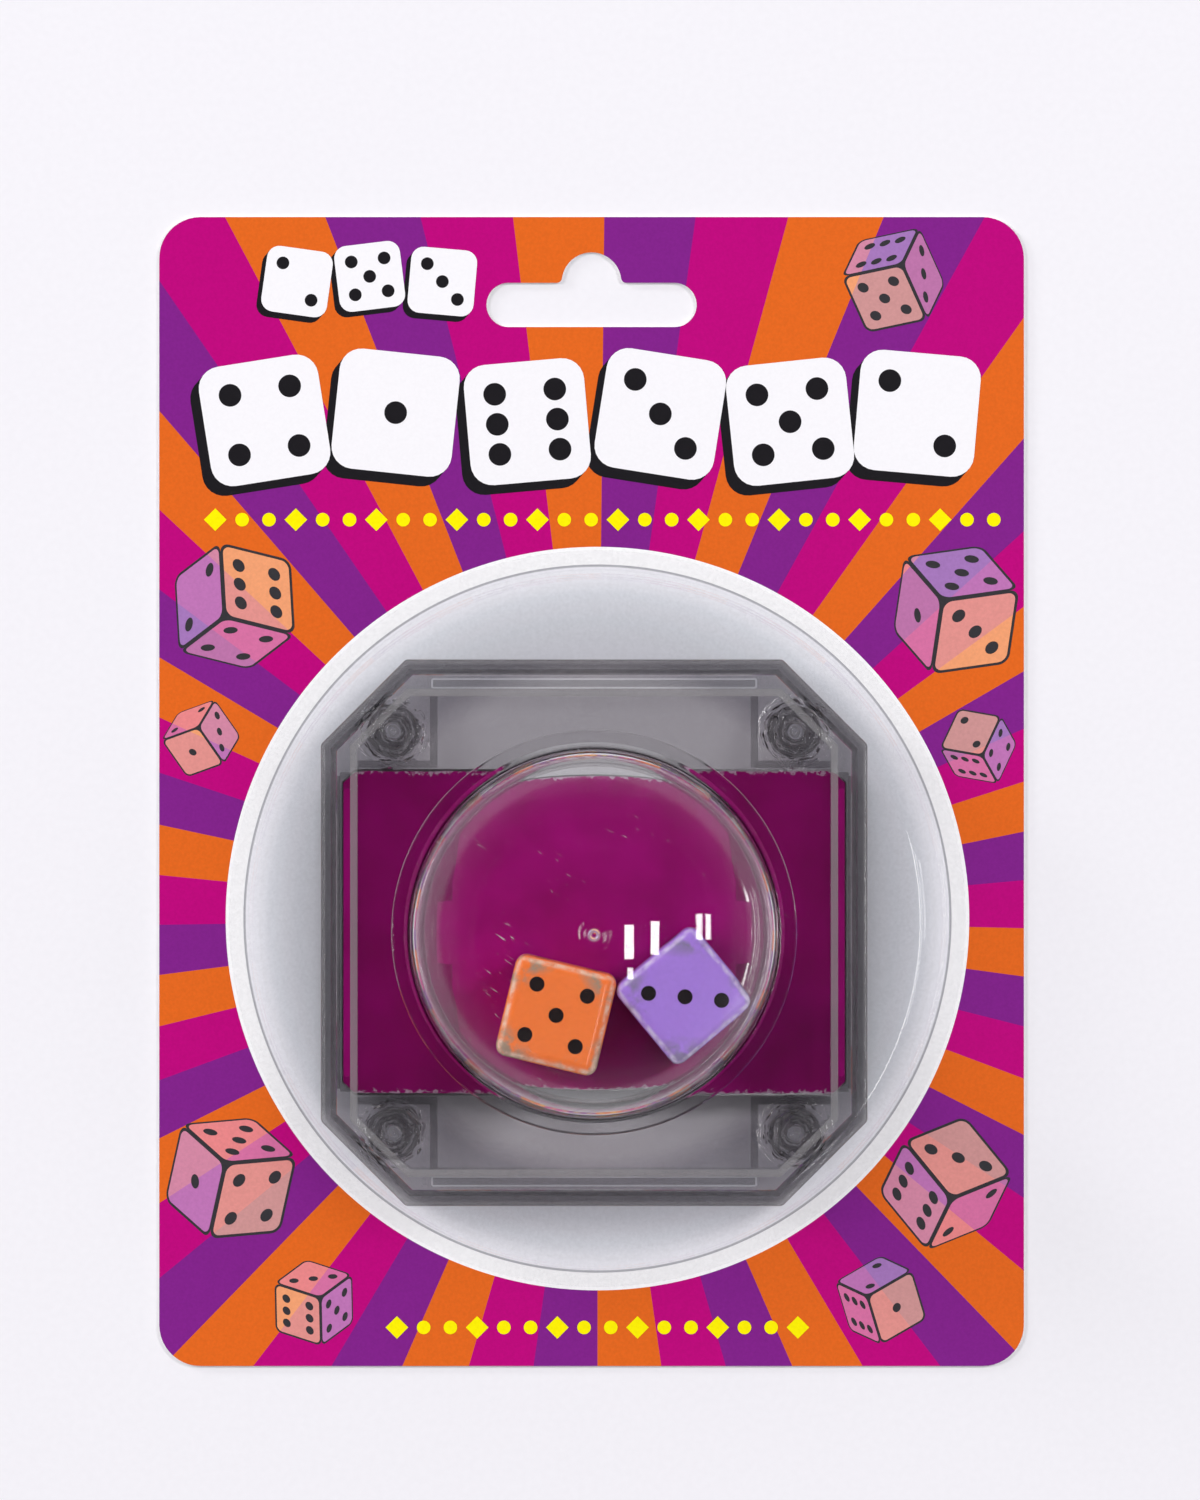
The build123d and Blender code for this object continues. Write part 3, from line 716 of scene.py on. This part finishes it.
# A few hair scratches from handling and the frosted rim of the gate catch a little light
def handledSurface(tree):
    point = pointInMm(tree, popperFoot)
    leaning = add(
        tree, "VectorRotate", {"Vector": point, "Angle": domeShape["scratchLean"]}, rotation_type="Z_AXIS"
    ).outputs[0]
    drawn = add(
        tree, "VectorMath", {0: leaning, 1: domeShape["scratchStretch"]}, operation="MULTIPLY"
    ).outputs[0]
    lines = add(
        tree, "TexNoise", {"Vector": drawn, "Scale": 1.0, "Detail": 2.0, "Distortion": 0.6}
    ).outputs[0]
    patches = add(
        tree, "TexNoise", {"Vector": point, "Scale": 1 / domeShape["handledPatch"], "Detail": 1.0}
    ).outputs[0]
    faint, full = domeShape["scratched"]
    hairs = add(tree, "MapRange", {"Value": lines, "From Min": faint, "From Max": full}).outputs[0]
    faint, full = domeShape["handled"]
    handled = add(tree, "MapRange", {"Value": patches, "From Min": faint, "From Max": full}).outputs[0]
    scratches = add(tree, "Math", {0: hairs, 1: handled}, operation="MULTIPLY").outputs[0]
    frosted = onRing(tree, point, domeShape["gate"] * 0.75, domeShape["gateFrost"])
    wear = add(tree, "Math", {0: scratches, 1: frosted}, operation="MAXIMUM").outputs[0]
    roughness = add(
        tree, "MapRange",
        {"Value": wear, "To Min": domeShape["roughness"], "To Max": domeShape["wornRoughness"]},
    ).outputs[0]
    clear = add(
        tree, "MapRange", {"Value": wear, "To Min": 1.0, "To Max": domeShape["wornClear"]}
    ).outputs[0]
    return roughness, clear


clearStyrene = seeThroughPlastic("clearPolystyreneMoulded", domeShape, gateRing, handledSurface)
domeForm = turned(domeProfile(), popper, domeShape["turns"])
domeMoulding = pieceFrom("domeMoulding", domeForm, clearStyrene, "dome_body", domeShape["sharpAngle"])
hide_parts("dome")

# The blister is vacuum formed from thin PET sheet: a cup with a rounded edge and a flange. Sizes are in mm.
blisterShape = {
    "tint": "FEFEFE", "ior": 1.57, "roughness": 0.02, "shine": 0.4, "mostShine": 0.1,
    "wall": 0.4, "flange": 2.3, "draft": 3.0, "edge": 4.0,
    "lip": 0.06, "clear": 0.03,
    "turns": 360, "sharpAngle": 38,
}


# The blister's section: flat top, rounded edge, drafted wall and a flange that lies a hair above the card
def blisterProfile():
    low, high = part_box("blister_shell")
    foot, top = low[2] / mm, high[2] / mm
    rim = (high[0] - low[0]) / 2 / mm
    lean, wall, edge = math.radians(blisterShape["draft"]), blisterShape["wall"], blisterShape["edge"]
    outer = rim - blisterShape["flange"]
    edgeX = outer - (top - edge - foot) * math.tan(lean) - edge / math.cos(lean)

    def face(inset):
        turn = [lean + (math.pi / 2 - lean) * i / 16 for i in range(17)]
        bend = edge - inset
        arc = [(edgeX + bend * math.cos(t), top - edge + bend * math.sin(t)) for t in turn]
        flat = [(edgeX - 0.05, top - inset), (0, top - inset)]
        return [(outer - inset / math.cos(lean), foot)] + arc + flat

    inside, outside = face(wall)[::-1], face(0)
    under, over, lip = foot + blisterShape["clear"], foot + wall, blisterShape["lip"]
    inside[-1] = (inside[-1][0], under)
    outside[0] = (outside[0][0], over)
    flange = [(rim - lip, under), (rim, under + lip), (rim, over - lip), (rim - lip, over)]
    return [(r * mm, z * mm) for r, z in inside + flange + outside]


clearPet = thinClearSheet("clearPetVacuumFormed", blisterShape)
cup = turned(blisterProfile(), blister, blisterShape["turns"])
blisterForm = pieceFrom("blisterForm", cup, clearPet, "pack", blisterShape["sharpAngle"])
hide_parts("blister_shell")
print("plastics made")

# The snap plate's cover, a paper sheet. Sizes are in mm.
cover = {
    "magentas": ["8A0260", "9A0470"], "patch": 8.333, "paper": "B79AB0", "fibre": 0.909,
    "fringe": (0.05, 1.1), "fibreDepth": 0.1, "roughness": 0.6, "gloss": 0.2, "ior": 1.5,
    "thickness": 0.5, "filled": 0.96,  # of the thickness, so that it stays inside the CAD cover
    "tear": 0.28, "tearStart": 0.7,
    "tearWaves": (0.9, 3.0),  # per mm along the sheet, and across half of it
    "corner": 1.8, "rows": 110, "columns": 60,
    "sharpAngle": 40,
    "keep": 0.35,  # the share of its height that the plate keeps when the dome is down
}


# Printed paper sheet torn along its long edges: deep magenta with a pale fibrous fringe
def tornPrintedSheet():
    material, tree = newMaterial("magentaPrintedPaperSheet")
    point = pointInMm(tree, popperFoot)
    low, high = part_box("plate_cover")
    half = (high[1] - low[1]) / 2 / mm
    along = add(tree, "SeparateXYZ", {0: point}).outputs["Y"]
    aside = add(tree, "Math", {0: along}, operation="ABSOLUTE").outputs[0]
    inward = add(tree, "Math", {0: half, 1: aside}, operation="SUBTRACT").outputs[0]
    fibres = add(
        tree, "TexNoise",
        {"Vector": point, "Scale": 1 / cover["fibre"], "Detail": 5.0, "Roughness": 0.7},
    ).outputs[0]
    least, most = cover["fringe"]
    ragged = add(
        tree, "MapRange",
        {"Value": fibres, "From Min": 0.45, "From Max": 0.7, "To Min": least, "To Max": most},
    ).outputs[0]
    torn = add(tree, "Math", {0: inward, 1: ragged}, operation="LESS_THAN").outputs[0]
    patches = add(tree, "TexNoise", {"Vector": point, "Scale": 1 / cover["patch"], "Detail": 3.0}).outputs[0]
    magenta = add(tree, "ValToRGB", {0: patches}, list(zip((0.3, 0.7), cover["magentas"]))).outputs[0]
    paper = linear(cover["paper"])
    colour = add(tree, "Mix", {"Factor": torn, 6: magenta, 7: paper}, data_type="RGBA").outputs[2]
    bump = add(
        tree, "Bump", {"Height": fibres, "Strength": 0.12, "Distance": cover["fibreDepth"] * mm}
    ).outputs[0]
    shader = add(
        tree, "BsdfPrincipled",
        {"Base Color": colour, "Roughness": cover["roughness"], "Normal": bump, "IOR": cover["ior"],
         "Specular IOR Level": cover["gloss"]},
    ).outputs[0]
    return finishMaterial(material, shader)


# The cover as a bowed sheet whose long edges are torn, inside the CAD cover's own box
def coverSheet():
    low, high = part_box("plate_cover")
    halfLength, halfWidth = (high[0] - low[0]) / 2, (high[1] - low[1]) / 2
    bow = high[2] - low[2] - cover["thickness"] * mm
    arc = (halfLength ** 2 + bow ** 2) / (2 * bow)
    along, across = cover["tearWaves"]
    bm = bmesh.new()
    grid = []
    for i in range(cover["rows"] + 1):
        x = -halfLength + 2 * halfLength * i / cover["rows"]
        z = high[2] - arc + math.sqrt(arc ** 2 - x ** 2)
        cut = max(0.0, cover["corner"] * mm - (halfLength - abs(x)))
        line = []
        for j in range(cover["columns"] + 1):
            side = -1 + 2 * j / cover["columns"]
            spot = Vector((x / mm * along, side * across, cover["tearStart"]))
            ragged = 0.5 + 0.5 * noise.noise(spot)
            reach = halfWidth - cover["tear"] * mm * ragged - cut
            line.append(bm.verts.new((popper.x + x, popper.y + side * reach, z)))
        grid.append(line)
    for i in range(cover["rows"]):
        for j in range(cover["columns"]):
            bm.faces.new((grid[i][j], grid[i + 1][j], grid[i + 1][j + 1], grid[i][j + 1]))
    bmesh.ops.recalc_face_normals(bm, faces=bm.faces)
    if bm.faces[0].normal.z < 0:
        bmesh.ops.reverse_faces(bm, faces=bm.faces)
    bmesh.ops.solidify(bm, geom=bm.faces[:], thickness=cover["thickness"] * cover["filled"] * mm)
    return bm


sheet = pieceFrom("coverSheet", coverSheet(), tornPrintedSheet(), "pack", cover["sharpAngle"])
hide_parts("plate_cover")

# The plate's rolling lines run along its length, and are drawn a quarter of a millimetre apart, coarser than
# they are, so that they show
steel = {
    "greys": ["8C8C90", "A6A6A9"], "roughness": (0.28, 0.45), "stretch": (0.15, 4.0, 1.0), "sharpAngle": 40,
}


# Cold-rolled spring steel strip: grey, with fine rolling lines that break up its shine
def springSteel():
    material, tree = newMaterial("springSteelColdRolled")
    point = pointInMm(tree, popperFoot)
    drawn = add(tree, "VectorMath", {0: point, 1: steel["stretch"]}, operation="MULTIPLY").outputs[0]
    lines = add(tree, "TexNoise", {"Vector": drawn, "Scale": 1.0, "Detail": 4.0}).outputs[0]
    colour = add(tree, "ValToRGB", {0: lines}, list(zip((0.3, 0.7), steel["greys"]))).outputs[0]
    least, most = steel["roughness"]
    roughness = add(tree, "MapRange", {"Value": lines, "To Min": least, "To Max": most}).outputs[0]
    shader = add(
        tree, "BsdfPrincipled", {"Base Color": colour, "Metallic": 1.0, "Roughness": roughness}
    ).outputs[0]
    return finishMaterial(material, shader)


plateMesh = bmesh.new()
plateMesh.from_mesh(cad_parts["snap_plate"].data)
bmesh.ops.remove_doubles(plateMesh, verts=plateMesh.verts, dist=smoky["weld"] * mm)
plate = pieceFrom("springPlate", plateMesh, springSteel(), "pack", steel["sharpAngle"])
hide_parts("snap_plate")
for piece in (sheet, plate):  # each gets a mesh of its own
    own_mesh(piece)
print("plate and cover made")

# Both dice, with sizes in mm. The pips of each are those on its top, front and right. Each die's edge colour
# is a paler band along its rounded edges, partly rubbed wear and partly painted highlight.
dice = {
    "die_orange": {
        "name": "orange", "face": "FF8240", "edge": "F3CDB4", "smudge": "A9907C", "turn": -13.5,
        "pips": (5, 3, 6),
    },
    "die_purple": {
        "name": "purple", "face": "AC82E2", "edge": "D9CDEB", "smudge": "8E7FA6", "turn": 39.5,
        "pips": (3, 2, 5),
    },
    "ior": 1.5, "roughness": (0.12, 0.3),
    "depth": 0.15, "depthScale": 0.5, "depthRadius": (2, 1, 1),  # how far light of each colour goes in
    "side": 15.7, "edgeRadius": 1.7,
    "wornAndLitEdge": (0.6, 1.1), "wornAndLitShare": (0.12, 0.85), "patch": 1.818,
    "smudged": (8.2, 11.0), "blotch": 4.545,
    "pip": 1.15, "pipInk": "201A1C", "pipLift": 0.012,
}


# Polished cast resin: a strong even colour with paler edges, partly rubbed wear and partly painted
# highlight, and a few grey smudges by the corners
def castResin(node):
    look = dice[node]
    material, tree = newMaterial(look["name"] + "CastResinPolished")
    turnBack = -math.radians(look["turn"])
    local = add(
        tree, "VectorRotate", {"Vector": pointInMm(tree, middle(node)), "Angle": turnBack},
        rotation_type="Z_AXIS",
    ).outputs[0]
    size = add(tree, "VectorMath", {0: local}, operation="ABSOLUTE").outputs[0]
    parts = add(tree, "SeparateXYZ", {0: size}).outputs
    x, y, z = parts["X"], parts["Y"], parts["Z"]
    small = add(tree, "Math", {0: x, 1: y}, operation="MINIMUM").outputs[0]
    large = add(tree, "Math", {0: x, 1: y}, operation="MAXIMUM").outputs[0]
    capped = add(tree, "Math", {0: large, 1: z}, operation="MINIMUM").outputs[0]
    second = add(tree, "Math", {0: small, 1: capped}, operation="MAXIMUM").outputs[0]
    largest = add(tree, "Math", {0: large, 1: z}, operation="MAXIMUM").outputs[0]
    total = add(tree, "VectorMath", {0: size, 1: (1, 1, 1)}, operation="DOT_PRODUCT").outputs["Value"]
    patches = add(
        tree, "TexNoise",
        {"Vector": local, "Scale": 1 / dice["patch"], "Detail": 4.0, "Roughness": 0.6},
    ).outputs[0]

    # An edge is where the second largest of the three distances is near half the side
    core = dice["side"] / 2 - dice["edgeRadius"]
    least, most = dice["wornAndLitEdge"]
    wornAndLitEdge = add(
        tree, "MapRange", {"Value": second, "From Min": core + least, "From Max": core + most},
        interpolation_type="SMOOTHSTEP",
    ).outputs[0]
    least, most = dice["wornAndLitShare"]
    uneven = add(
        tree, "MapRange",
        {"Value": patches, "From Min": 0.4, "From Max": 0.6, "To Min": least, "To Max": most},
    ).outputs[0]
    # the pale edge band: rubbed wear with a painted highlight
    edge = add(tree, "Math", {0: wornAndLitEdge, 1: uneven}, operation="MULTIPLY").outputs[0]

    # A corner of a face is where the other two distances are both large
    cornerNear = add(tree, "Math", {0: total, 1: largest}, operation="SUBTRACT").outputs[0]
    least, most = dice["smudged"]
    cornerShare = add(
        tree, "MapRange", {"Value": cornerNear, "From Min": least, "From Max": most}
    ).outputs[0]
    blotches = add(
        tree, "TexNoise",
        {"Vector": local, "Scale": 1 / dice["blotch"], "Detail": 5.0, "Roughness": 0.65},
    ).outputs[0]
    blotched = add(tree, "MapRange", {"Value": blotches, "From Min": 0.45, "From Max": 0.57}).outputs[0]
    smudge = add(tree, "Math", {0: cornerShare, 1: blotched}, operation="MULTIPLY").outputs[0]

    tone = mottled(tree, linear(look["face"]), local, 0.04)
    grey, paleWearAndHighlight = linear(look["smudge"]), linear(look["edge"])
    worn = add(tree, "Mix", {"Factor": smudge, 6: tone, 7: grey}, data_type="RGBA").outputs[2]
    colour = add(tree, "Mix", {"Factor": edge, 6: worn, 7: paleWearAndHighlight}, data_type="RGBA").outputs[2]
    least, most = dice["roughness"]
    roughness = add(tree, "MapRange", {"Value": patches, "To Min": least, "To Max": most}).outputs[0]
    shader = add(
        tree, "BsdfPrincipled",
        {"Base Color": colour, "Roughness": roughness, "IOR": dice["ior"],
         "Subsurface Weight": dice["depth"], "Subsurface Scale": dice["depthScale"],
         "Subsurface Radius": [r * mm for r in dice["depthRadius"]]},
    ).outputs[0]
    return finishMaterial(material, shader)


# Pips as round spots of ink, a hair above each flat face. Opposite faces add up to seven.
def pipSpots(node, body):
    look = dice[node]
    centre = middle(node)
    turn = Matrix.Rotation(math.radians(look["turn"]), 3, "Z")
    top, front, right = look["pips"]
    sides = [
        (Vector((0, 0, 1)), Vector((1, 0, 0)), top),
        (Vector((0, 0, -1)), Vector((1, 0, 0)), 7 - top),
        (Vector((0, -1, 0)), Vector((1, 0, 0)), front),
        (Vector((0, 1, 0)), Vector((-1, 0, 0)), 7 - front),
        (Vector((1, 0, 0)), Vector((0, 1, 0)), right),
        (Vector((-1, 0, 0)), Vector((0, -1, 0)), 7 - right),
    ]
    side, reach = dice["side"], dice["side"] / 2 + dice["pipLift"]
    bm = bmesh.new()
    for out, u, count in sides:
        v = out.cross(u)
        for px, py in pipPlaces(count):
            spot = []
            for x, y in discPoints(dice["pip"], 24):
                local = out * reach + u * (px * side + x) + v * (py * side + y)
                spot.append(bm.verts.new(centre + (turn @ local) * mm))
            bm.faces.new(spot)
    return pieceFrom(look["name"] + "DiePips", bm, ink(look["name"] + "PipInk", dice["pipInk"]), body)


for node, body in (("die_orange", "orange_die_body"), ("die_purple", "purple_die_body")):
    dress(node, castResin(node))
    pipSpots(node, body)
print("dice made")

# Pale floor, pale walls under a dark ceiling, and lamps: (name, degrees east and north of straight above,
# distance, size east and north in metres, share of plain light on a level surface)
studio = {
    "floorSide": 6.0,  # metres
    "floorDrop": 0.05, "grain": 1.111,  # mm
    "papers": ["F2F0F5", "F4F2F7"],
    "sky": "F6F5F8", "paleStrength": 0.8, "darkStrength": 0.01,
    "low": 0.56, "high": 0.88,  # where walls turn to ceiling, from 0, level, to 1, straight up
    "softLamps": [
        ("keyLeft", -42, 20, 3.2, (0.9, 0.9), 0.246),
        ("lowLeft", -71, 62, 3.2, (0.6, 0.6), 0.08),
        ("fillRight", 36, 24, 3.2, (0.6, 0.6), 0.256),
    ],
    "tubes": [
        ("tubeNear", 8.8, -2.6, 1.2, (0.048, 0.18), 0.026),
        ("tubeMiddle", 15.3, -1.6, 1.2, (0.044, 0.175), 0.022),
        ("tubeFarInner", 26.6, 1.3, 1.2, (0.032, 0.13), 0.01),
        ("tubeFarOuter", 28.9, 1.3, 1.2, (0.027, 0.13), 0.009),
        ("tubeShort", 9.2, -10.6, 1.2, (0.03, 0.06), 0.004),
    ],
}


# Matt paper, whose grain is drawn coarser than it is and still hardly shows
def paleFloor():
    material, tree = newMaterial("palePaperFloor")
    coords = add(tree, "TexCoord").outputs["Object"]
    grain = add(
        tree, "TexNoise", {"Vector": coords, "Scale": 1 / (studio["grain"] * mm), "Detail": 2.0}
    ).outputs[0]
    colour = add(tree, "ValToRGB", {0: grain}, list(zip((0.3, 0.7), studio["papers"]))).outputs[0]
    shader = add(
        tree, "BsdfPrincipled", {"Base Color": colour, "Roughness": 0.9, "Specular IOR Level": 0.1}
    ).outputs[0]
    return finishMaterial(material, shader)


floorMesh = bmesh.new()
bmesh.ops.create_grid(floorMesh, x_segments=2, y_segments=2, size=studio["floorSide"] / 2)
mesh = bpy.data.meshes.new("studioFloor")
floorMesh.to_mesh(mesh)
floorMesh.free()
mesh.materials.append(paleFloor())
floor = bpy.data.objects.new("studioFloor", mesh)
bpy.context.collection.objects.link(floor)
floor.location.z = -studio["floorDrop"] * mm

world = bpy.data.worlds.new("paleWallsDarkCeiling")
bpy.context.scene.world = world
world.use_nodes = True
world.node_tree.nodes.clear()
tree = world.node_tree
up = add(tree, "SeparateXYZ", {0: add(tree, "TexCoord").outputs["Generated"]}).outputs["Z"]
strength = add(
    tree, "MapRange",
    {"Value": up, "From Min": studio["low"], "From Max": studio["high"],
     "To Min": studio["paleStrength"], "To Max": studio["darkStrength"]},
    interpolation_type="SMOOTHSTEP",
).outputs[0]
sky = add(tree, "Background", {"Color": linear(studio["sky"]), "Strength": strength}).outputs[0]
add(tree, "OutputWorld", {"Surface": sky})


# A soft lamp isn't mirrored, because it would show as a hard square in the flat clear top
def areaLamp(name, east, north, distance, size, share, mirrored):
    out = Vector((math.tan(math.radians(east)), math.tan(math.radians(north)), 1)).normalized()
    data = bpy.data.lights.new(name, "AREA")
    data.shape = "RECTANGLE"
    data.size, data.size_y = size
    data.energy = share * math.pi ** 2 * distance ** 2 / out.z
    lamp = bpy.data.objects.new(name, data)
    bpy.context.collection.objects.link(lamp)
    lamp.visible_glossy = mirrored
    lamp.visible_transmission = mirrored
    across = Vector((0, 1, 0)).cross(out).normalized()
    turn = Matrix((across, out.cross(across), out)).transposed().to_4x4()
    lamp.matrix_world = Matrix.Translation(popper + out * distance) @ turn


for row in studio["softLamps"]:
    areaLamp(*row, False)
for row in studio["tubes"]:
    areaLamp(*row, True)

# A long lens straight above: where it looks and the height of what it sees, all in mm
lens = {"focal": 300, "sensor": 36, "x": 1.3, "y": 6.4, "frameHeight": 231.2, "clipEnd": 20000}
cameraData = bpy.data.cameras.new("longLensAbove")
cameraData.lens = lens["focal"]
cameraData.sensor_width = lens["sensor"]
cameraData.clip_end = lens["clipEnd"] * mm
camera = bpy.data.objects.new("longLensAbove", cameraData)
bpy.context.collection.objects.link(camera)
distance = lens["frameHeight"] * mm * lens["focal"] / lens["sensor"]
camera.location = (lens["x"] * mm, lens["y"] * mm, cardFace + distance)

# Light passes several clear walls one behind the other
scene = bpy.context.scene
scene.camera = camera
scene.view_settings.view_transform = "Standard"
scene.cycles.max_bounces = 24
scene.cycles.transmission_bounces = 20
scene.cycles.transparent_max_bounces = 24
scene.cycles.caustics_reflective = False
scene.cycles.caustics_refractive = False
print("studio set")

bpy.context.view_layer.update()
